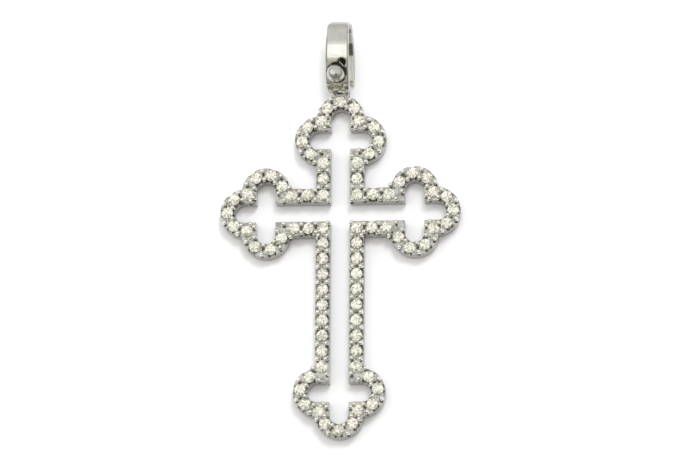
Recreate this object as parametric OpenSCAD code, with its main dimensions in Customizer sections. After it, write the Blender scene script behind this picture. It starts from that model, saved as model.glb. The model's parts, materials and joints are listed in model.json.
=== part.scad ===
// Openwork cross pendant with three-lobed ends. A single band follows the outline
// and carries one row of round stones between shared beads. The oval bail on top
// swings on an eye, and the front of the bail opens as a gate with a ball head.
// Millimetres. The pendant lies on its back: +y is its top and z = 0 is the surface.

/* [Cross] */
// Distance from the crossing to the middle of each side end
side_reach = 7.9; // [7.4:0.1:10]
// Distance from the crossing to the middle of the top end
top_reach = 7.9; // [7.4:0.1:10]
// Distance from the crossing to the middle of the foot end
foot_reach = 19.4; // [18.6:0.1:21]
// Distance from the middle of an end to the centre of each of its lobes
lobe_offset = 2.3; // [2.2:0.05:2.5]
// Radius of the band's middle line round a lobe
band_radius = 1.8; // [1.75:0.05:1.9]
// Width of the band
band_width = 1.52; // [1.46:0.02:1.6]
// Height of the band's deck above the back
deck_height = 1.6; // [1.4:0.05:1.65]

/* [Stones] */
// Diameter of a stone across its girdle
stone_d = 1.2; // [1.1:0.02:1.22]
// Height of the girdle above the back
girdle_height = 1.72; // [1.68:0.01:1.76]
// Width of the table as a share of the stone's diameter
table_share = 0.57; // [0.52:0.01:0.62]
// Slope of the crown
crown_angle = 34; // [30:1:36]
// Slope of the pavilion
pavilion_angle = 41; // [40:0.5:43]
// Clearance between a stone and the metal
stone_gap = 0.04; // [0.02:0.01:0.05]

/* [Beads] */
// Radius of a bead
bead_r = 0.23; // [0.18:0.01:0.23]
// Height of a bead's top above the back
bead_top = 2.05; // [1.95:0.01:2.1]
// Distance of a pair's beads from the middle line
bead_offset = 0.47; // [0.42:0.01:0.5]

/* [Bail] */
// Length of the bail
bail_length = 7.8; // [7.6:0.1:8.4]
// Depth of the bail from front to rear
bail_depth = 3.2; // [3.1:0.05:3.4]
// Width of the bail's band
bail_width = 2.4; // [2.3:0.05:2.6]
// How much narrower the band gets on each side towards the bail's top
bail_taper = 0.1; // [0:0.02:0.2]
// Thickness of the bail's band
bail_wall = 0.7; // [0.6:0.02:0.72]
// Diameter of the ball on the gate
ball_d = 2; // [1.8:0.05:2.1]
// Width of the bail where it passes through the eye
neck_width = 0.76; // [0.7:0.02:0.9]
// Radius of the eye's wire
eye_wire_r = 0.22; // [0.18:0.01:0.24]
// Angle at which the bail leans on the surface
bail_lean = 20; // [18:0.5:24]
// Turn of the bail about its own length
bail_twist = -9; // [-10:1:0]
// Turn of the bail in the plane of its front
bail_roll = -0.5; // [-2:0.5:0]

/* [Hidden] */
$fn = 48;
white_gold = [0.80, 0.79, 0.75];
ivory = [0.93, 0.92, 0.84];

// Each arm turns counterclockwise from the right one: its direction and its reach,
// the stones on each side of its bars, and for its clockwise and its other side
// the neck stone's distance below the end and the turn of the side lobe's stones.
ARMS = [
    [-90, side_reach, 2, [3.0, 2.7], [16, 7]],
    [0, top_reach, 2, [2.6, 2.6], [10, 8]],
    [90, side_reach, 2, [2.7, 3.0], [18, 18]],
    [180, foot_reach, 9, [2.7, 2.7], [8, 8]]
];

// Layout of the stones on an end
side_pitch = 55;
crown_pitch = 53;
tie_offset = 2.0;
stone_turn = 37;

// How far a gap's beads stand out from the line between its two stones
lobe_bulge = 0.2;
tie_bulge = 0.09;

band_outer = band_radius + band_width / 2;
band_inner = band_radius - band_width / 2;
stone_r = stone_d / 2;
girdle_half = 0.02;
hole_r = 0.34;
scallop_r = 0.42;
scallop_height = deck_height + 0.04;
post_inset = 0.03;
post_root = 0.3;
single_r = 0.2;
corner_r = 0.18;
corner_gap = 0.01;
through = 0.5;

// Single beads on the corners of an end that point into its opening
SINGLES = [[1.25, 1.62], [1.62, 1.25], [2.05, -1.3], [1.28, -1.93]];

function turned(p, a) = [p.x * cos(a) - p.y * sin(a), p.x * sin(a) + p.y * cos(a)];
function arm_point(arm, p) = turned([p.x, p.y + arm[1]], arm[0]);

// A stone is its place, the direction across the band, and whether the walls are cut there.
// A bar's stones run from the corner outwards, and the last is the neck stone.
function bar_run(arm, side) =
    let (run = arm[1] - arm[3][side] - band_radius)
    [for (k = [1:arm[2]])
        [(side == 0 ? 1 : -1) * band_radius, band_radius + run * k / arm[2] - arm[1], 0, k < arm[2]]];

// A side lobe's three stones from the neck outwards
function side_lobe(arm, side) =
    [for (k = [-1:1])
        let (a = k * side_pitch - arm[4][side])
        [(side == 0 ? 1 : -1) * (lobe_offset + band_radius * cos(a)), band_radius * sin(a),
            side == 0 ? a : 180 - a, true]];
function crown_lobe() =
    [for (k = [1:-1:-1])
        let (a = k * crown_pitch)
        [band_radius * sin(a), lobe_offset + band_radius * cos(a), 90 - a, true]];
function reversed(list) = [for (i = [len(list) - 1:-1:0]) list[i]];

// One arm's stones in order, with the corner stone that leads to the next arm
function arm_stones(arm) = [
    for (s = concat(
        bar_run(arm, 0), side_lobe(arm, 0), [[tie_offset, tie_offset, 0, false]],
        crown_lobe(), [[-tie_offset, tie_offset, 0, false]],
        reversed(side_lobe(arm, 1)), reversed(bar_run(arm, 1)),
        [[-band_radius, band_radius - arm[1], 0, false]]
    ))
        let (p = arm_point(arm, s))
        [p.x, p.y, s[2] + arm[0], s[3]]
];
STONES = [for (arm = ARMS) each arm_stones(arm)];

// Each gap's bulge, and whether it has an inner bead as well as an outer one
function arm_gaps(arm) = concat(
    [for (k = [2:arm[2]]) [0, true]], [[0, false]],
    [for (b = [lobe_bulge, lobe_bulge, tie_bulge, tie_bulge, lobe_bulge]) [b, true]],
    [for (b = [lobe_bulge, tie_bulge, tie_bulge, lobe_bulge, lobe_bulge]) [b, true]],
    [[0, false]], [for (k = [0:arm[2]]) [0, true]]
);
GAPS = [for (arm = ARMS) each arm_gaps(arm)];

// The bail's frame: its origin is the middle of the eye's crossbar, +y its top and
// +z its front. The bail is pushed down over the crossbar, which stands a little
// above the foot and nearer the rear.
eye_reach = 1.55;
eye_play = 0.44;
eye_root = 0.6;
leg_gap = 0.17;
eye_leg = neck_width / 2 + leg_gap + eye_wire_r;
lobe_top = top_reach + lobe_offset + band_outer;
eye_y = lobe_top + eye_reach;
front_shift = 0.2;
bail_bottom = -(eye_wire_r + eye_play + bail_wall);
bail_top = bail_bottom + bail_length;

// The bail's profile: two long side arcs, widest at the waist, run into a narrow
// top arc and a fuller foot arc
side_r = 14;
waist_y = 2.05;
half_depth = bail_depth / 2;
side_at = side_r - half_depth;
function end_radius(run) = half_depth - run ^ 2 / (2 * (side_at - run));
top_r = end_radius(bail_top - half_depth - waist_y);
foot_r = end_radius(waist_y - bail_bottom - half_depth);
top_at = bail_top - top_r;
foot_at = bail_bottom + foot_r;
top_sweep = atan2(top_at - waist_y, side_at);
foot_sweep = atan2(waist_y - foot_at, side_at);

// How much of the pendant's +y and +z lies along the bail's own x, y and z
bail_up = [
    cos(bail_lean) * sin(bail_roll) * cos(bail_twist) + sin(bail_lean) * sin(bail_twist),
    cos(bail_lean) * cos(bail_roll),
    cos(bail_lean) * sin(bail_roll) * sin(bail_twist) - sin(bail_lean) * cos(bail_twist)
];
bail_out = [
    sin(bail_lean) * sin(bail_roll) * cos(bail_twist) - cos(bail_lean) * sin(bail_twist),
    sin(bail_lean) * cos(bail_roll),
    sin(bail_lean) * sin(bail_roll) * sin(bail_twist) + cos(bail_lean) * cos(bail_twist)
];

// How far the bail reaches along a direction, from the foot arc or from the top arc
foot_half = bail_width / 2;
top_half = foot_half - bail_taper;
function reach(way, half, end, r) = half * abs(way.x) + end * way.y + front_shift * way.z
    + r * norm([way.y, way.z]);

// The crossbar is as high as it has to be for the bail's rear to touch the surface
eye_height = reach(-bail_out, foot_half, foot_at, foot_r);

// Room for the eye's legs when the bail swings this far to its rear and to its front.
// The bail's twist takes the legs' path towards the front on the left side.
rear_swing = 50;
front_swing = 30;
leg_room_r = 0.3;
leg_shift = -eye_leg * tan(bail_twist);

// Outline of the bail from the front
shoulder_r = 0.76;
shoulder_y = -0.48;
taper_y = 3;
corner_round = 0.5;

ball_x = -0.02;
ball_y = 1.08;
ball_rise = 0.3;
hinge_y = -0.24;
pin_r = 0.16;
pin_play = 0.03;
pin_seat = 0.01;
knuckle_r = bail_wall / 2;
knuckle_w = 1.1;
gate_gap = 0.06;
gate_rise = 0.49;
gate_top = ball_y + gate_rise;
notch_play = 0.09;
notch_drop = 0.1;
notch_r = ball_d / 2 + notch_play;
notch_shift = [-0.02, 0.05];
thumb_r = 0.47;
thumb_shift = [0.56, 1.16];
crown_r = 0.86;

// The gate's tongue beside the ball, measured from the ball: its edge crosses the
// thumb notch, and its face is sunk below the front
TONGUE = [[0.1, 0.7], [0.2, 1.3], [0.84, 0.6], [0.75, 0.2], [0, 0]];
tongue_sunk = 0.12;
tongue_wall = 0.3;

// Depth of the front's surface at a height in the bail's frame, at an inset
function front_z(y, inset) = front_shift + sqrt((side_r - inset) ^ 2 - (y - waist_y) ^ 2) - side_at;
hinge_z = front_z(hinge_y, knuckle_r);
hinge_slope = asin((waist_y - hinge_y) / (side_r - knuckle_r));
ball_z = front_z(ball_y, 0) + ball_rise;

// The pendant's box is centred on the origin
reach_down = foot_reach + lobe_offset + band_outer;
cross_y = (reach_down - eye_y - reach(bail_up, top_half, top_at, top_r)) / 2;

// Outline of the cross at a distance from its centre lines
module cross_outline(r) {
    for (arm = ARMS)
        rotate(arm[0]) {
            translate([-r, -r]) square([2 * r, arm[1] + lobe_offset + r]);
            translate([0, arm[1] + lobe_offset]) circle(r);
            translate([-lobe_offset, arm[1] - r]) square([2 * lobe_offset, 2 * r]);
            for (side = [-1, 1])
                translate([side * lobe_offset, arm[1]]) circle(r);
        }
}

module bead(p, r) {
    translate([p.x, p.y, deck_height - post_root])
        cylinder(r = r - post_inset, h = bead_top - deck_height);
    translate([p.x, p.y, bead_top - r]) sphere(r);
}

// Two beads in each gap, one on each side of the middle line
module bead_pairs() {
    count = len(STONES);
    for (i = [0:count - 1]) {
        a = [STONES[i].x, STONES[i].y];
        b = [STONES[(i + 1) % count].x, STONES[(i + 1) % count].y];
        outward = turned((b - a) / norm(b - a), -90);
        middle = (a + b) / 2 + GAPS[i][0] * outward;
        bead(middle + bead_offset * outward, bead_r);
        if (GAPS[i][1])
            bead(middle - bead_offset * outward, bead_r);
    }
}

// Single beads on the corners that point into the opening: one at the crossing,
// and two on each side of a lobe
module corner_beads() {
    crossing = band_inner + corner_r + corner_gap;
    for (arm = ARMS) {
        bead(arm_point(arm, [-crossing, crossing - arm[1]]), corner_r);
        for (side = [-1, 1])
            for (p = SINGLES)
                bead(arm_point(arm, [side * p.x, p.y]), single_r);
    }
}

// A cone under the girdle, open to the back
module seat() {
    cone_r = stone_r + stone_gap;
    cone_h = (cone_r - hole_r) * tan(pavilion_angle);
    translate([0, 0, -girdle_height - through]) cylinder(r = hole_r, h = girdle_height + through);
    translate([0, 0, -girdle_half - cone_h]) cylinder(r1 = hole_r, r2 = cone_r, h = cone_h);
}

module seats() {
    for (s = STONES)
        translate([s.x, s.y, girdle_height]) seat();
}

// A round cut through the band's walls beside each stone of a bar or a lobe
module scallops() {
    for (s = STONES)
        if (s[3])
            translate([s.x, s.y, scallop_height]) rotate([0, 90, s[2]])
                cylinder(r = scallop_r, h = band_width + 2 * scallop_r, center = true);
}

// A wire staple on top of the upper lobe
module eye() {
    base = lobe_top - eye_root;
    for (side = [-1, 1])
        translate([side * eye_leg, 0, eye_height]) {
            translate([0, base, 0]) rotate([-90, 0, 0]) cylinder(r = eye_wire_r, h = eye_y - base);
            translate([0, eye_y, 0]) sphere(eye_wire_r);
        }
    translate([0, eye_y, eye_height]) rotate([0, 90, 0])
        cylinder(r = eye_wire_r, h = 2 * eye_leg, center = true);
}

// The soldered metal of the cross
module cross_frame() {
    color(white_gold) translate([0, cross_y, 0]) {
        difference() {
            union() {
                linear_extrude(deck_height) difference() {
                    cross_outline(band_outer);
                    cross_outline(band_inner);
                }
                bead_pairs();
                corner_beads();
            }
            seats();
            scallops();
        }
        eye();
    }
}

// A round brilliant with its girdle at z = 0
module brilliant() {
    table_r = stone_r * table_share;
    tip_r = stone_r * 0.8;
    main_r = stone_r * 0.25;
    crown_h = (stone_r - table_r) * tan(crown_angle);
    tip_h = (stone_r - tip_r * cos(22.5)) * tan(crown_angle);
    main_h = (stone_r - main_r * cos(22.5)) * tan(pavilion_angle);
    culet_h = stone_r * tan(pavilion_angle);
    function ring(r, n, start, z) =
        [for (k = [0:n - 1]) [r * cos(start + k * 360 / n), r * sin(start + k * 360 / n), z]];
    points = concat(
        ring(table_r, 8, 0, crown_h + girdle_half),
        ring(tip_r, 8, 22.5, tip_h + girdle_half),
        ring(stone_r, 16, 0, girdle_half),
        ring(stone_r, 16, 0, -girdle_half),
        ring(main_r, 8, 22.5, -main_h - girdle_half),
        [[0, 0, -culet_h - girdle_half]]
    );
    table = 0;
    tip = 8;
    rim = 16;
    low_rim = 32;
    main = 48;
    culet = 56;
    faces = concat(
        [[for (k = [7:-1:0]) table + k]],
        [for (k = [0:7]) [table + k, table + (k + 1) % 8, tip + k]],
        [for (k = [0:7]) [table + k, tip + k, rim + 2 * k, tip + (k + 7) % 8]],
        [for (k = [0:7]) [tip + k, rim + 2 * k + 1, rim + 2 * k]],
        [for (k = [0:7]) [tip + k, rim + (2 * k + 2) % 16, rim + 2 * k + 1]],
        [for (k = [0:15]) [rim + k, rim + (k + 1) % 16, low_rim + (k + 1) % 16, low_rim + k]],
        [for (k = [0:7]) [main + k, low_rim + 2 * k, low_rim + 2 * k + 1]],
        [for (k = [0:7]) [main + k, low_rim + 2 * k + 1, low_rim + (2 * k + 2) % 16]],
        [for (k = [0:7]) [culet, main + (k + 7) % 8, low_rim + 2 * k, main + k]]
    );
    polyhedron(points, faces);
}

// The row of stones, each clear of the metal and of its neighbours
module stones() {
    color(ivory) translate([0, cross_y, girdle_height])
        for (i = [0:len(STONES) - 1])
            translate([STONES[i].x, STONES[i].y, 0]) rotate(i * stone_turn) brilliant();
}

// The bail's profile at a distance inside its outer face, drawn as x = depth and y = height
function arc(c, r, from, to, n) =
    [for (k = [0:n - 1]) let (a = from + (to - from) * k / n) c + r * [cos(a), sin(a)]];
function profile(inset) = concat(
    arc([-side_at, waist_y], side_r - inset, -foot_sweep, top_sweep, 16),
    arc([0, top_at], top_r - inset, top_sweep, 180 - top_sweep, 20),
    arc([side_at, waist_y], side_r - inset, 180 - top_sweep, 180 + foot_sweep, 16),
    arc([0, foot_at], foot_r - inset, 180 + foot_sweep, 360 - foot_sweep, 20)
);

// Places what is drawn in the bail's frame on the leaning bail
module on_bail() {
    translate([0, cross_y + eye_y, eye_height])
        rotate([bail_lean, 0, 0]) rotate([0, bail_twist, bail_roll]) children();
}

// Extrudes a drawing of depth and height across the bail
module across(width) {
    rotate([0, -90, 0]) linear_extrude(width, center = true) children();
}

module at_hinge() {
    translate([hinge_z, hinge_y]) children();
}

// Each side of the bail beyond a distance from its middle
module on_cheeks(inner) {
    for (side = [-1, 1])
        translate([side * (inner + bail_width / 2) / 2, 0, 0])
            across(bail_width / 2 - inner) children();
}

module bail_ring() {
    across(bail_width) translate([front_shift, 0]) difference() {
        polygon(profile(0));
        polygon(profile(bail_wall));
    }
}

// The bail seen from the front: round shoulders stand above the neck, and the top
// is narrower, with round corners
module front_outline() {
    corner_x = top_half - corner_round;
    corner_y = bail_top - corner_round;
    polygon([
        [-foot_half, shoulder_y], [foot_half, shoulder_y], [foot_half, taper_y],
        [top_half, corner_y], [-top_half, corner_y], [-foot_half, taper_y]
    ]);
    for (side = [-1, 1]) {
        translate([side * (foot_half - shoulder_r), shoulder_y]) circle(shoulder_r);
        translate([side * corner_x, corner_y]) circle(corner_round);
    }
    translate([shoulder_r - foot_half, shoulder_y - shoulder_r])
        square([bail_width - 2 * shoulder_r, shoulder_r]);
    translate([-corner_x, corner_y]) square([2 * corner_x, through]);
    translate([-neck_width / 2, bail_bottom - through]) square([neck_width, through - bail_bottom]);
}

// Room for the eye's legs on both sides of the neck: the legs' path as the bail swings
module leg_room() {
    drop = bail_depth;
    for (side = [-1, 1])
        translate([side * (neck_width / 2 + bail_width), 0, -side * leg_shift])
            across(2 * bail_width) {
                circle(leg_room_r);
                polygon([
                    turned([leg_room_r, 0], front_swing), turned([leg_room_r, -drop], front_swing),
                    turned([-leg_room_r, -drop], -rear_swing), turned([-leg_room_r, 0], -rear_swing)
                ]);
            }
}

// The stretch of the front that belongs to the gate
module gate_window() {
    normal = bail_wall * [cos(hinge_slope), -sin(hinge_slope)];
    hinge = [hinge_z, hinge_y];
    polygon([hinge + normal, [bail_depth, gate_top], [0, gate_top], hinge - normal]);
}

// The round notch round the ball, with a small thumb notch at its upper right
module ball_notch() {
    linear_extrude(bail_depth) intersection() {
        union() {
            translate([ball_x + notch_shift.x, ball_y + notch_shift.y]) circle(notch_r);
            translate([ball_x + thumb_shift.x, ball_y + thumb_shift.y]) circle(thumb_r);
        }
        translate([-bail_width, ball_y - notch_drop]) square(2 * bail_width);
    }
}

// The fixed part of the bail: its rear, its top and its front down to the ball
module bail_hoop() {
    color(white_gold) on_bail() difference() {
        union() {
            difference() {
                intersection() {
                    bail_ring();
                    linear_extrude(2 * bail_depth, center = true) front_outline();
                }
                leg_room();
                across(2 * bail_width) gate_window();
                ball_notch();
                across(knuckle_w + 2 * gate_gap) at_hinge() circle(knuckle_r + gate_gap);
            }
            on_cheeks(knuckle_w / 2 + gate_gap) at_hinge() circle(knuckle_r);
        }
        across(2 * bail_width) at_hinge() circle(pin_r + pin_seat);
    }
}

module gate_pin() {
    color(white_gold) on_bail() across(bail_width) at_hinge() circle(pin_r);
}

// The tongue's block: a slice of the band, sunk below its front face
module gate_tongue() {
    intersection() {
        across(bail_width) translate([front_shift, 0]) difference() {
            polygon(profile(tongue_sunk));
            polygon(profile(tongue_sunk + tongue_wall));
        }
        translate([ball_x, ball_y, 0]) linear_extrude(bail_depth) polygon(TONGUE);
    }
}

// The gate turns on the pin and carries the ball
module bail_gate() {
    color(white_gold) on_bail() {
        difference() {
            union() {
                difference() {
                    intersection() {
                        bail_ring();
                        across(bail_width) gate_window();
                        translate([-bail_width, gate_top - gate_gap - 2 * bail_width, 0])
                            cube(2 * bail_width);
                    }
                    ball_notch();
                    on_cheeks(knuckle_w / 2) at_hinge() circle(knuckle_r + gate_gap);
                }
                intersection() {
                    bail_ring();
                    translate([ball_x, ball_y, 0]) cylinder(r = crown_r, h = bail_depth);
                }
                gate_tongue();
                across(knuckle_w) at_hinge() circle(knuckle_r);
            }
            across(2 * bail_width) at_hinge() circle(pin_r + pin_play);
        }
        translate([ball_x, ball_y, ball_z]) sphere(ball_d / 2);
    }
}

cross_frame();
stones();
bail_hoop();
gate_pin();
bail_gate();
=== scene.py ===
import json
import math

import bmesh
import bpy
from mathutils import Matrix, Vector


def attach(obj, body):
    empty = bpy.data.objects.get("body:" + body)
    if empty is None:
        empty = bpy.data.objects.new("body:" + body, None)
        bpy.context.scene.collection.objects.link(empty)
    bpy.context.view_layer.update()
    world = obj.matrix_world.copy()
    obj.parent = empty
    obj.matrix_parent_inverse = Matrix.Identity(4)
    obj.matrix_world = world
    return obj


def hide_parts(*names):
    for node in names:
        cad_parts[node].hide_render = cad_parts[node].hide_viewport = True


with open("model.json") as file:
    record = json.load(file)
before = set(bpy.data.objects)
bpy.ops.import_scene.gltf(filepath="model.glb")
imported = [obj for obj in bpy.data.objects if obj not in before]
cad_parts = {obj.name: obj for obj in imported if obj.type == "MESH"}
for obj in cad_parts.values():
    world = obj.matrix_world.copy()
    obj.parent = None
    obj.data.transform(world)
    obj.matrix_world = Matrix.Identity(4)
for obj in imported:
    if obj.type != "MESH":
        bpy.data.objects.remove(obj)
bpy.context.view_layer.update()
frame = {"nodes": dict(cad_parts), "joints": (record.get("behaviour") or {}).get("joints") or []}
scene = bpy.context.scene


# The pendant lies on white card and is seen from above, from a little below its
# foot and from its right side, through a long lens.
mm = 0.001
eye_above = 14.31 * mm
swing = next(joint for joint in frame["joints"] if joint["name"] == "bail_swing")
crossing = Vector((0, swing["pos_m"][1] - eye_above, 0))
tilt, pan, roll, distance = 13.49, 5.34, 0.856, 366.7 * mm
aim_tilt, aim_pan = 0.297, 0.143


def turned(roll, tilt, pan):
    """A camera's turn from straight above, in degrees."""
    about = lambda angle, axis: Matrix.Rotation(math.radians(angle), 4, axis)
    return about(-roll, "Z") @ about(tilt, "X") @ about(pan, "Y")


camera_data = bpy.data.cameras.new("camera")
camera_data.lens = 177.5
camera_data.sensor_width = 36
camera_data.clip_start = 0.01
camera = bpy.data.objects.new("camera", camera_data)
scene.collection.objects.link(camera)
place = crossing + turned(roll, tilt, pan) @ Vector((0, 0, distance))
camera.matrix_world = Matrix.Translation(place) @ turned(roll, tilt - aim_tilt, pan - aim_pan)
scene.camera = camera
scene.view_settings.view_transform = "Standard"


# The room is a pale tent, dimmer low down and dark towards the viewer. A long soft
# panel in it is mirrored by the bail, and lamps that are not mirrored light the card.
def add_node(tree, kind, settings, links):
    """Adds a node, with its settings first and then its sockets' values or links."""
    made = tree.nodes.new(kind)
    for name, value in dict(settings).items():
        setattr(made, name, value)
    names = [slot.identifier for slot in made.inputs]
    for name, value in links.items():
        slot = made.inputs[names.index(name) if name in names else name.replace("_", " ")]
        value = getattr(value, "socket", value)
        if isinstance(value, bpy.types.NodeSocket):
            tree.links.new(value, slot)
        else:
            slot.default_value = value
    return made


class Wire:
    """The value that leaves a node. Sums of wires and numbers add their own nodes."""
    def __init__(self, tree, socket=None):
        self.tree, self.socket = tree, socket

    def node(self, kind, settings=(), out=0, **links):
        return Wire(self.tree, add_node(self.tree, kind, settings, links).outputs[out])

    def maths(self, operation, a, b=0.0):
        return self.node("ShaderNodeMath", {"operation": operation}, Value=a, Value_001=b)

    def __add__(self, other): return self.maths("ADD", self, other)
    def __radd__(self, other): return self.maths("ADD", other, self)
    def __sub__(self, other): return self.maths("SUBTRACT", self, other)
    def __rsub__(self, other): return self.maths("SUBTRACT", other, self)
    def __mul__(self, other): return self.maths("MULTIPLY", self, other)
    def __rmul__(self, other): return self.maths("MULTIPLY", other, self)

    def ramp(self, low, high, to_low=0.0, to_high=1.0):
        """A soft step from to_low, where the value is low, to to_high, where it is high."""
        return self.node("ShaderNodeMapRange", {"interpolation_type": "SMOOTHSTEP"}, Value=self,
                         From_Min=low, From_Max=high, To_Min=to_low, To_Max=to_high)

    def blend(self, before, after):
        """The first colour where the mask is none, and the second where it is one."""
        return self.node("ShaderNodeMix", {"data_type": "RGBA"}, 2, Factor_Float=self,
                         A_Color=before, B_Color=after)

    def dot(self, way):
        return self.node("ShaderNodeVectorMath", {"operation": "DOT_PRODUCT"}, 1,
                         Vector=self, Vector_001=way)

    def part(self, axis):
        """A vector's x, y or z, as axis is 0, 1 or 2."""
        return self.node("ShaderNodeSeparateXYZ", out=axis, Vector=self)

    def place(self):
        """The place on the piece, in Object coordinates."""
        return self.node("ShaderNodeTexCoord", out=3)

    def facing(self):
        """The way that the surface faces."""
        return self.node("ShaderNodeNewGeometry", out=1)

    def noise(self, scale, detail=2.0, roughness=0.5):
        return self.node("ShaderNodeTexNoise", Vector=self.place(), Scale=scale, Detail=detail,
                         Roughness=roughness)


world = bpy.data.worlds.new("room")
scene.world = world
world.use_nodes = True
world.node_tree.nodes.clear()
ray = Wire(world.node_tree).node("ShaderNodeTexCoord", out=0)


def patch(way, rim, heart):
    """One where a ray runs within heart degrees of way, and none beyond rim degrees."""
    low, high = (math.cos(math.radians(angle)) for angle in (rim, heart))
    return ray.dot(Vector(way).normalized()).ramp(low, high)


def panel(way, width, height, soft):
    """One where a ray meets a far panel, whose width, height and soft rim are in degrees."""
    way = Vector(way).normalized()
    side = way.cross(Vector((0, 1, 0))).normalized()
    mask = ray.dot(way).ramp(0.0, 0.1)
    for axis, size in ((side, width), (way.cross(side), height)):
        off = ray.maths("ABSOLUTE", ray.dot(axis))
        low, high = (math.sin(math.radians((size + step) / 2)) for step in (-soft, soft))
        mask = mask * off.ramp(low, high, 1.0, 0.0)
    return mask


height, towards = ray.part(2), ray.dot(Vector((0, -1, 0)))
viewer_side = (1 - 0.3 * towards.ramp(0.27, 0.33)) * (1 - 0.35 * towards.ramp(0.5, 0.8))
viewer = patch((0.09, -0.65, 1), 16, 8)
low_down = height.ramp(0.1, 0.45, towards.ramp(-0.95, -0.6, 1.05, 0.5), 1.0)
tent = (0.8 + 0.25 * height * height) * viewer_side * (1 - 0.9 * viewer) * low_down
long_panel, left_glow = panel((-0.437, -0.205, 1), 18, 12, 4), patch((-0.8, 0.2, 0.6), 32, 16)
glow = tent + 0.95 * long_panel + 0.5 * left_glow
tint = towards.ramp(0.22, 0.33).blend((1.0, 1.0, 0.965, 1), (1.0, 0.965, 0.84, 1))
light = ray.node("ShaderNodeBackground", Color=tint, Strength=glow)
add_node(world.node_tree, "ShaderNodeOutputWorld", (), {"Surface": light})


def soft_box(name, stand, size, power):
    """A square lamp that faces the pendant, in millimetres and watts."""
    data = bpy.data.lights.new(name, "AREA")
    data.shape = "SQUARE"
    data.size = size * mm
    data.energy = power
    box = bpy.data.objects.new(name, data)
    scene.collection.objects.link(box)
    box.location = Vector(stand) * mm
    box.rotation_euler = (crossing - box.location).to_track_quat("-Z", "Y").to_euler()
    box.visible_glossy = box.visible_transmission = False


soft_box("key", (110, 240, 500), 160, 1.1)
soft_box("sky", (0, 60, 800), 500, 1.15)


# The card is plain and white with a faint grain. It lies just under the pendant and
# belongs to the picture alone.
def finish(name, make):
    """A material whose surface comes from make, which gets a wire of its tree."""
    material = bpy.data.materials.new(name)
    material.use_nodes = True
    tree = material.node_tree
    tree.nodes.clear()
    add_node(tree, "ShaderNodeOutputMaterial", (), {"Surface": make(Wire(tree))})
    return material


def white_card(w):
    grain = w.node("ShaderNodeBump", Strength=0.04, Distance=0.0001, Height=w.noise(9000))
    return w.node("ShaderNodeBsdfPrincipled", Base_Color=(0.9, 0.9, 0.93, 1), Roughness=0.85,
                  Normal=grain)


half_card, card_drop = 0.6, -2e-6
corners = [(half_card * a, half_card * b, card_drop)
           for a, b in ((-1, -1), (1, -1), (1, 1), (-1, 1))]
card = bpy.data.meshes.new("card")
card.from_pydata(corners, [], [(0, 1, 2, 3)])
card.materials.append(finish("white_card", white_card))
floor = bpy.data.objects.new("floor", card)
scene.collection.objects.link(floor)


# The cross is one soldered band of white gold. Its walls are polished but soft from
# wear, and its colour carries painted shade on the walls, the edges and low between the stones.
def gold(value, yellow=1.0):
    """The colour of white gold at a brightness, with less blue where yellow is below one."""
    return (value, value * 0.985, value * 0.93 * yellow, 1)


def rounded(w, radius):
    """A normal that rounds the edges, and a mask that is one away from them."""
    soft = w.node("ShaderNodeBevel", {"samples": 6}, Radius=radius)
    return soft, soft.dot(w.facing())


def set_gold(w):
    """Painted shade: lighter on the set face than on the walls, with dark rims and dark patches low
    down.
    """
    patchy, fine = w.noise(900, 4, 0.6).ramp(0.3, 0.7), w.noise(3600, 3, 0.6)
    # Painted shade: the walls take a darker tone of the same gold than the upward set face.
    set_face = w.facing().part(2).ramp(0.2, 0.75)
    colour = set_face.blend(patchy.blend(gold(0.4), gold(0.5)),
                            patchy.blend(gold(0.527), gold(0.62)))
    # Painted shade: broken patches of near black low on the set face, where shade falls in the
    # recesses.
    recess_shade = w.place().part(2).ramp(1.62 * mm, 1.7 * mm, 1.0, 0.0)
    shade_patches = w.noise(2400, 2, 0.5).ramp(0.46, 0.6)
    colour = (set_face * recess_shade * shade_patches * 0.4).blend(colour, (0.05, 0.045, 0.03, 1))
    soft, flat = rounded(w, 0.1 * mm)
    # Painted shade: a dark tone on the rounded edges.
    colour = flat.ramp(0.7, 0.99).blend(gold(0.24), colour)
    gloss = 0.2 + 0.16 * fine.ramp(0.35, 0.75)
    scratches = w.node("ShaderNodeBump", Strength=0.25, Distance=0.00002, Height=fine, Normal=soft)
    return w.node("ShaderNodeBsdfPrincipled", Base_Color=colour, Metallic=1.0, Roughness=gloss,
                  Normal=scratches)


cross = frame["nodes"]["cross_frame"]
cross.data.materials.clear()
cross.data.materials.append(finish("set_white_gold", set_gold))


# The row of 78 small round brilliants follows the outline of the cross. They are cut
# stones with a faint ivory tint, and each sits in a drilled seat below its beads.
band_radius, lobe_offset = 1.8, 2.3
# Each arm's direction, its reach, the stones on a bar's side, and for both sides the
# neck's length and the turn of the lobe's stones.
arms = [(-90, 7.9, 2, (3.0, 2.7), (16, 7)), (0, 7.9, 2, (2.6, 2.6), (10, 8)),
        (90, 7.9, 2, (2.7, 3.0), (18, 18)), (180, 19.4, 9, (2.7, 2.7), (8, 8))]
side_pitch, crown_pitch, tie, stone_turn = 55, 53, 2.0, 37
stone_width, girdle_height = 1.2, 1.72


def bar_side(arm, side):
    reach, count, necks = arm[1:4]
    run = reach - necks[side] - band_radius
    return [((1, -1)[side] * band_radius, band_radius + run * k / count - reach)
            for k in range(1, count + 1)]


def side_lobe(arm, side):
    angles = [math.radians(k * side_pitch - arm[4][side]) for k in (-1, 0, 1)]
    return [((1, -1)[side] * (lobe_offset + band_radius * math.cos(a)), band_radius * math.sin(a))
            for a in angles]


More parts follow.
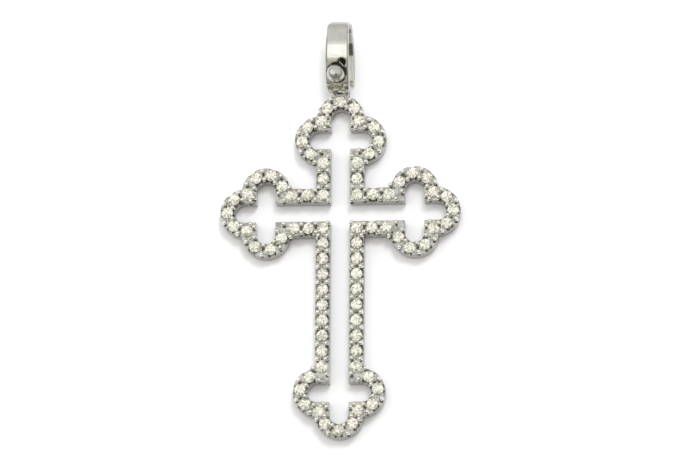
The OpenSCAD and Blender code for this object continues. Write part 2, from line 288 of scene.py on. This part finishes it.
def arm_row(arm):
    crown = [math.radians(k * crown_pitch) for k in (1, 0, -1)]
    row = bar_side(arm, 0) + side_lobe(arm, 0) + [(tie, tie)]
    row += [(band_radius * math.sin(a), lobe_offset + band_radius * math.cos(a)) for a in crown]
    row += [(-tie, tie)] + side_lobe(arm, 1)[::-1] + bar_side(arm, 1)[::-1]
    return row + [(-band_radius, band_radius - arm[1])]


def on_cross(arm, x, y, z=0.0):
    """A point of an arm's own drawing, in millimetres, on the cross."""
    swung = Matrix.Rotation(math.radians(arm[0]), 3, "Z")
    return crossing + swung @ Vector((x, y + arm[1], z)) * mm


row = [on_cross(arm, x, y, girdle_height) for arm in arms for x, y in arm_row(arm)]


def brilliant():
    """A round brilliant one unit wide, with its girdle at z = 0."""
    crown, pavilion = math.tan(math.radians(34)), math.tan(math.radians(41))
    def ring(r, count, start, z):
        return [(r * math.cos(math.radians(start + 360 * k / count)),
                 r * math.sin(math.radians(start + 360 * k / count)), z) for k in range(count)]
    table, tip, low, girdle = 0.285, 0.4, 0.125, 0.016
    half = math.cos(math.radians(22.5))
    points = (ring(table, 8, 0, (0.5 - table) * crown)
              + ring(tip, 8, 22.5, (0.5 - tip * half) * crown)
              + ring(0.5, 16, 0, girdle) + ring(0.5, 16, 0, -girdle)
              + ring(low, 8, 22.5, -(0.5 - low * half) * pavilion) + [(0, 0, -0.5 * pavilion)])
    faces = [tuple(range(8))]
    for k in range(8):
        after, before = (k + 1) % 8, (k + 7) % 8
        rim, far = 16 + 2 * k, 16 + (2 * k + 2) % 16
        faces += [(k, 8 + k, after), (k, 8 + before, rim, 8 + k),
                  (8 + k, rim, rim + 1), (8 + k, rim + 1, far),
                  (48 + k, rim + 17, rim + 16), (48 + k, far + 16, rim + 17),
                  (56, 48 + k, rim + 16, 48 + before)]
    faces += [(16 + k, 32 + k, 32 + (k + 1) % 16, 16 + (k + 1) % 16) for k in range(16)]
    mesh = bpy.data.meshes.new("brilliant")
    mesh.from_pydata(points, [], faces)
    # Each stone keeps its own unit places, which its material reads.
    own = mesh.attributes.new("on_stone", "FLOAT_VECTOR", "POINT")
    own.data.foreach_set("vector", [v for point in points for v in point])
    cut = bmesh.new()
    cut.from_mesh(mesh)
    bmesh.ops.recalc_face_normals(cut, faces=cut.faces)
    cut.to_mesh(mesh)
    cut.free()
    return bpy.data.objects.new("brilliant", mesh)


def tree_with_inputs(name, inputs):
    """A Geometry Nodes tree, and the identifiers of its named inputs."""
    tree = bpy.data.node_groups.new(name, "GeometryNodeTree")
    face = tree.interface
    face.new_socket("Geometry", in_out="INPUT", socket_type="NodeSocketGeometry")
    keys = {}
    for title, kind in inputs:
        made = face.new_socket(title, in_out="INPUT", socket_type="NodeSocket" + kind)
        keys[title] = made.identifier
    face.new_socket("Geometry", in_out="OUTPUT", socket_type="NodeSocketGeometry")
    return tree, keys


def scatter(tree_name, name, points, shape, stretch, tilt, seed, surface):
    """A plain mesh with one shape on every point, turned, sized, stretched and slightly tilted.

    A point is its place, its size and its turn."""
    tree, keys = tree_with_inputs(tree_name, [
        ("Shape", "Object"), ("Stretch", "Vector"), ("Tilt", "Float"), ("Seed", "Int"),
        ("Finish", "Material")])
    given = tree.nodes.new("NodeGroupInput").outputs

    def add(kind, settings=(), out=0, **links):
        return add_node(tree, kind, settings, links).outputs[out]

    def lean(seed):
        low = add("ShaderNodeMath", {"operation": "MULTIPLY"}, Value=given["Tilt"], Value_001=-1.0)
        return add("FunctionNodeRandomValue", {"data_type": "FLOAT"}, 1, Min_001=low,
                   Max_001=given["Tilt"], Seed=seed)

    def of_point(title):
        return add("GeometryNodeInputNamedAttribute", {"data_type": "FLOAT"}, Name=title)

    instance = add("GeometryNodeObjectInfo", out=4, Object=given["Shape"])
    later = add("ShaderNodeMath", {"operation": "ADD"}, Value=given["Seed"], Value_001=7.0)
    way = add("ShaderNodeCombineXYZ", X=lean(given["Seed"]), Y=lean(later), Z=of_point("turn"))
    grown = add("ShaderNodeVectorMath", {"operation": "MULTIPLY"}, Vector=of_point("size"),
                Vector_001=given["Stretch"])
    puts = add("GeometryNodeInstanceOnPoints", Points=given["Geometry"], Instance=instance,
               Rotation=way, Scale=grown)
    solid = add("GeometryNodeRealizeInstances", Geometry=puts)
    done = add("GeometryNodeSetMaterial", Geometry=solid, Material=given["Finish"])
    tree.links.new(done, tree.nodes.new("NodeGroupOutput").inputs[0])

    cloud = bpy.data.meshes.new(name + "_points")
    cloud.from_pydata([point[0] for point in points], [], [])
    for k, title in ((1, "size"), (2, "turn")):
        values = cloud.attributes.new(title, "FLOAT", "POINT")
        values.data.foreach_set("value", [point[k] for point in points])
    host = bpy.data.objects.new(name + "_points", cloud)
    scene.collection.objects.link(host)
    modifier = host.modifiers.new("make", "NODES")
    modifier.node_group = tree
    for title, value in (("Shape", shape), ("Stretch", stretch), ("Tilt", tilt), ("Seed", seed),
                         ("Finish", surface)):
        modifier[keys[title]] = value
    bpy.context.view_layer.update()
    ready = bpy.context.evaluated_depsgraph_get()
    made = bpy.data.meshes.new_from_object(host.evaluated_get(ready))
    host.modifiers.remove(modifier)
    bpy.data.objects.remove(host)
    bpy.data.objects.remove(shape)
    piece = bpy.data.objects.new(name, made)
    scene.collection.objects.link(piece)
    return piece


def ivory_stone(w):
    """Painted light and dark wedges round the middle, for the facets' flashes and reflections, and
    a rosy tint on some stones.
    """
    on_stone = w.node("ShaderNodeAttribute", {"attribute_name": "on_stone"}, 1)
    x, y = on_stone.part(0), on_stone.part(1)
    out = w.maths("SQRT", x * x + y * y)
    flat = w.node("ShaderNodeCombineXYZ", X=x, Y=y)
    wedge = w.node("ShaderNodeVectorMath", {"operation": "NORMALIZE"}, Vector=flat)
    own = w.node("ShaderNodeAttribute", {"attribute_name": "turn"}, 2)
    spot = w.node("ShaderNodeCombineXYZ", X=wedge.part(0), Y=wedge.part(1), Z=out * 1.6 + own * 3)
    painted_flash = w.node("ShaderNodeTexVoronoi", {"feature": "F1"}, 1, Vector=spot, Scale=3.3).part(0)
    rosy = w.maths("SINE", own * 9).ramp(0.3, 0.8)
    pale = rosy.blend((0.97, 0.96, 0.86, 1), (1.0, 0.93, 0.88, 1))
    # Painted reflection: the dark and pale tones stand for facets that mirror dark and bright
    # surroundings.
    tint = painted_flash.ramp(0.2, 0.65).blend((0.36, 0.35, 0.26, 1), pale)
    return w.node("ShaderNodeBsdfPrincipled", Base_Color=tint, Roughness=0.03, IOR=2.2,
                  Transmission_Weight=0.15)


points = [(p, stone_width * mm, math.radians(stone_turn * i)) for i, p in enumerate(row)]
gems = scatter("gem_row", "gems", points, brilliant(), (1.0, 1.0, 1.0), 0.03, 3,
               finish("ivory_stone", ivory_stone))
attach(gems, "cross")
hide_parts("stones")


# Each gap of the row has two raised beads that hold its stones, cut up from the
# band and rounded with a cup tool, so each is a little different. Single beads sit
# on the corners of the ends and at the crossing.
deck_height, bead_offset, bead_width = 1.6, 0.47, 0.54
lobe_bulge, tie_bulge = 0.2, 0.09
singles = [(1.25, 1.62), (1.62, 1.25), (2.05, -1.3), (1.28, -1.93)]
crossing_bead = 1.23


def arm_gaps(count):
    """Each gap's bulge, and whether it has an inner bead."""
    lobe, tied = (lobe_bulge, True), (tie_bulge, True)
    gaps = [(0, True)] * (count - 1) + [(0, False)] + [lobe, lobe, tied, tied, lobe]
    return gaps + [lobe, tied, tied, lobe, lobe, (0, False)] + [(0, True)] * (count + 1)


gaps = [gap for arm in arms for gap in arm_gaps(arm[2])]
bead_places, gap_places = [], []
for i, (bulge, inner) in enumerate(gaps):
    a, b = row[i], row[(i + 1) % len(row)]
    forward = (b - a).normalized()
    outward = Vector((forward.y, -forward.x, 0))
    middle = (a + b) / 2 + outward * bulge * mm
    middle.z = deck_height * mm
    gap_places.append(middle)
    bead_places.append(middle + outward * bead_offset * mm)
    if inner:
        bead_places.append(middle - outward * bead_offset * mm)
for arm in arms:
    for side in (1, -1):
        bead_places += [on_cross(arm, side * x, y, deck_height) for x, y in singles]
    bead_places.append(on_cross(arm, -crossing_bead, crossing_bead - arm[1], deck_height))


def dome(name, rings, sides, power):
    """A round cap one unit wide and high that stands on z = 0."""
    points, faces = [(0, 0, 1)], []
    for j in range(1, rings + 1):
        a = math.pi / 2 * j / rings
        r, z = 0.5 * math.sin(a) ** power, math.cos(a)
        points += [(r * math.cos(2 * math.pi * k / sides), r * math.sin(2 * math.pi * k / sides), z)
                   for k in range(sides)]
    for k in range(sides):
        after = (k + 1) % sides
        faces.append((0, 1 + k, 1 + after))
        for j in range(1, rings):
            low, high = 1 + j * sides, 1 + (j - 1) * sides
            faces.append((high + k, low + k, low + after, high + after))
    faces.append(tuple(1 + (rings - 1) * sides + k for k in reversed(range(sides))))
    mesh = bpy.data.meshes.new(name)
    mesh.from_pydata(points, [], faces)
    mesh.shade_smooth()
    return bpy.data.objects.new(name, mesh)


def burnished_gold(w):
    fine = w.noise(5200, 3, 0.6)
    colour = fine.ramp(0.3, 0.7).blend((0.84, 0.83, 0.78, 1), (1.0, 0.99, 0.95, 1))
    dents = w.node("ShaderNodeBump", Strength=0.15, Distance=0.00002, Height=fine)
    return w.node("ShaderNodeBsdfPrincipled", Base_Color=colour, Metallic=1.0,
                  Roughness=0.05 + 0.08 * fine.ramp(0.4, 0.8), Normal=dents)


points = [(p, bead_width * mm, i * 1.7) for i, p in enumerate(bead_places)]
beads = scatter("bead_row", "beads", points, dome("bead", 6, 16, 0.8), (1.03, 1.03, 0.9), 0.16, 5,
                finish("burnished_gold", burnished_gold))
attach(beads, "cross")


# Dark discs lie between the beads and just below each one. They are painted shade:
# the darkness in the gaps and the shadow that each bead casts on the band.
# Painted shade: a near black, dull surface for the shade discs.
def painted_shade_discs(w):
    fine = w.noise(7000, 2, 0.6)
    colour = fine.ramp(0.35, 0.65).blend((0.03, 0.027, 0.018, 1), (0.17, 0.16, 0.115, 1))
    return w.node("ShaderNodeBsdfPrincipled", Base_Color=colour, Metallic=0.3,
                  Roughness=0.45 + 0.2 * fine)


# Painted shadow: a disc just below each bead, where its shadow falls.
below = Vector((0.05, -0.27, 0.03)) * mm
points = [(p, (0.25 + 0.12 * math.sin(i * 2.4)) * mm, i * 1.1) for i, p in enumerate(gap_places)]
points += [(p + below, (0.34 + 0.1 * math.sin(i * 1.9)) * mm, 0.4 * math.sin(i))
           for i, p in enumerate(bead_places)]
shade_disc_piece = scatter("shade_disc_row", "polish_in_pits", points, dome("pit", 2, 10, 1.0), (1.0, 0.8, 0.1),
                0.0, 9, finish("painted_shade_discs", painted_shade_discs))
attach(shade_disc_piece, "cross")


# The bail is a hinged loop of plain white gold, polished brighter than the cross: a
# hoop, a short gate with a ball head on its front, and the pin between them. It
# hangs on the wire eye above the upper lobe.
lean, bail_roll, twist = 20, -0.5, -9
stand = Matrix.Identity(3)
for angle, axis in ((lean, "X"), (bail_roll, "Z"), (twist, "Y")):
    stand = stand @ Matrix.Rotation(math.radians(angle), 3, axis)
pivot = Vector(swing["pos_m"])
# Places on the bail, in millimetres from its pivot: circles as x, y and radius, for the
# painted shade in the notches, on the rear behind them and round the ball's rim, and the
# tongue's painted highlight edge as its turn, its distance from the ball and the circle it lies in.
ball = (-0.02, 1.08)
ball_notch, thumb_notch = (-0.04, 1.13, 1.14), (0.54, 2.24, 0.5)
behind_ball, behind_thumb = (-0.6, 1.0, 1.25), (0.05, 2.03, 0.6)
shade_outer, shade_inner = (-0.02, 1.1, 1.1), (-0.01, 0.96, 0.95)
edge_turn, edge_out, edge_zone = math.radians(42.4), 1.025, (0.5, 2.0, 0.65)


def plain_gold(w):
    """Bright outside and dull inside, with painted light and shade: the lining, speckles at the
    foot, dark edges, sides and margin, dark shade round the ball and a highlight on the tongue.
    """
    off = w.node("ShaderNodeVectorMath", {"operation": "SUBTRACT"}, Vector=w.place(),
                 Vector_001=pivot)
    x, y, z = (off.dot(axis) for axis in stand.col)
    side = w.maths("ABSOLUTE", x)

    def above(value, low, soft=0.03):
        return value.ramp((low - soft) * mm, (low + soft) * mm)

    def under(value, high, soft=0.03):
        return value.ramp((high - soft) * mm, (high + soft) * mm, 1.0, 0.0)

    def within(value, low, high, soft=0.03):
        return above(value, low, soft) * under(value, high, soft)

    def circle(at_x, at_y, radius):
        a, b = x - at_x * mm, y - at_y * mm
        return under(w.maths("SQRT", a * a + b * b), radius, 0.02)

    def either(a, b):
        return w.maths("MAXIMUM", a, b)

    front_depth = within(z + y.ramp(0.9 * mm, 1.1 * mm, 0.06 * mm, 0.0), 1.13, 1.78, 0.02)
    # Painted shade: near black in the notch gaps round the ball and thumb, on the rear wall seen
    # through them, and in a crescent on the ball.
    in_notch = either(circle(*ball_notch), circle(*thumb_notch)) * front_depth
    behind = either(circle(*behind_ball), circle(*behind_thumb)) * within(z, -0.9, 0.5, 0.1)
    shade = circle(*shade_outer) * (1 - circle(*shade_inner)) * above(x, -0.6, 0.1)
    shade = shade * above(y, 0.8, 0.2) * within(z, 1.2, 2.5, 0.05)
    painted_shade = either(either(in_notch, behind), shade)
    # Painted highlight: a thin bright line along the tongue's edge beside the ball.
    out = (x - ball[0] * mm) * math.cos(edge_turn) + (y - ball[1] * mm) * math.sin(edge_turn)
    edge_highlight = within(out, edge_out - 0.03, edge_out + 0.03, 0.01) * within(z, 1.3, 1.7)
    edge_highlight = edge_highlight * circle(*edge_zone)

    joint = within(side, 0.5, 1.25) * within(y, -0.3, -0.02) * within(z, 1.2, 2.4)
    inside = within(z, -0.75, 1.15) * within(y, -0.3, 5.2)
    cheek = above(side + y.ramp(3 * mm, 6 * mm, 0.0, 0.1 * mm), 1.17, 0.02)
    margin = within(y, 2.3, 4.9, 0.3) * x.ramp(-1.07 * mm, -1.0 * mm, 1.0, 0.0)
    fine = w.noise(3600, 3, 0.6)
    soft, flat = rounded(w, 0.22 * mm)
    colour = w.noise(900, 4, 0.6).ramp(0.3, 0.7).blend(gold(0.5), gold(0.55))
    # Painted shade: a dark tone on the rounded edges, left out at the top end.
    colour = either(flat.ramp(0.75, 1.0), above(y, 5.55, 0.25)).blend(gold(0.36), colour)
    # Painted shade: the side faces take a darker tone of the same gold.
    colour = (cheek * 0.8).blend(colour, gold(0.3))
    # Painted shade: a dark strip down the left margin of the front.
    colour = margin.blend(colour, gold(0.22))
    # Painted light and reflection on the inner faces: light high up, a dark band of painted
    # reflection below it, and pale further down.
    painted_lining = above(y, 4.2, 0.2).blend(gold(1.0), gold(0.8))
    painted_lining = within(y, 2.75, 4.1, 0.15).blend(painted_lining, gold(0.25, 0.9))
    colour = inside.blend(colour, painted_lining)
    # Painted reflection: light and dark speckles at the foot, for the set stones mirrored in it.
    reflected_specks = w.noise(3000, 2, 0.6).ramp(0.36, 0.64).blend(gold(0.38, 0.97), gold(0.8, 0.94))
    colour = within(y, -1.5, 0.02, 0.1).blend(colour, reflected_specks)
    colour = (joint * 0.3).blend(colour, gold(0.25))
    colour = edge_highlight.blend(colour, gold(1.0))
    gloss = 0.07 + 0.08 * fine.ramp(0.35, 0.75) + 0.6 * inside + 0.25 * joint
    scratches = w.node("ShaderNodeBump", Strength=0.12, Distance=0.00002, Height=fine, Normal=soft)
    metal = w.node("ShaderNodeBsdfPrincipled", Base_Color=colour, Metallic=1.0, Roughness=gloss,
                   Normal=scratches)
    # A dark, dull surface that carries the painted shade.
    shade_bsdf = w.node("ShaderNodeBsdfPrincipled", Base_Color=(0.02, 0.019, 0.014, 1), Roughness=0.7,
                    Specular_IOR_Level=0.1)
    return w.node("ShaderNodeMixShader", Fac=painted_shade * (1 - edge_highlight), Shader=metal, Shader_001=shade_bsdf)


bright = finish("plain_white_gold", plain_gold)
for name in ("bail_hoop", "gate_pin", "bail_gate"):
    node = frame["nodes"][name]
    node.data.materials.clear()
    node.data.materials.append(bright)
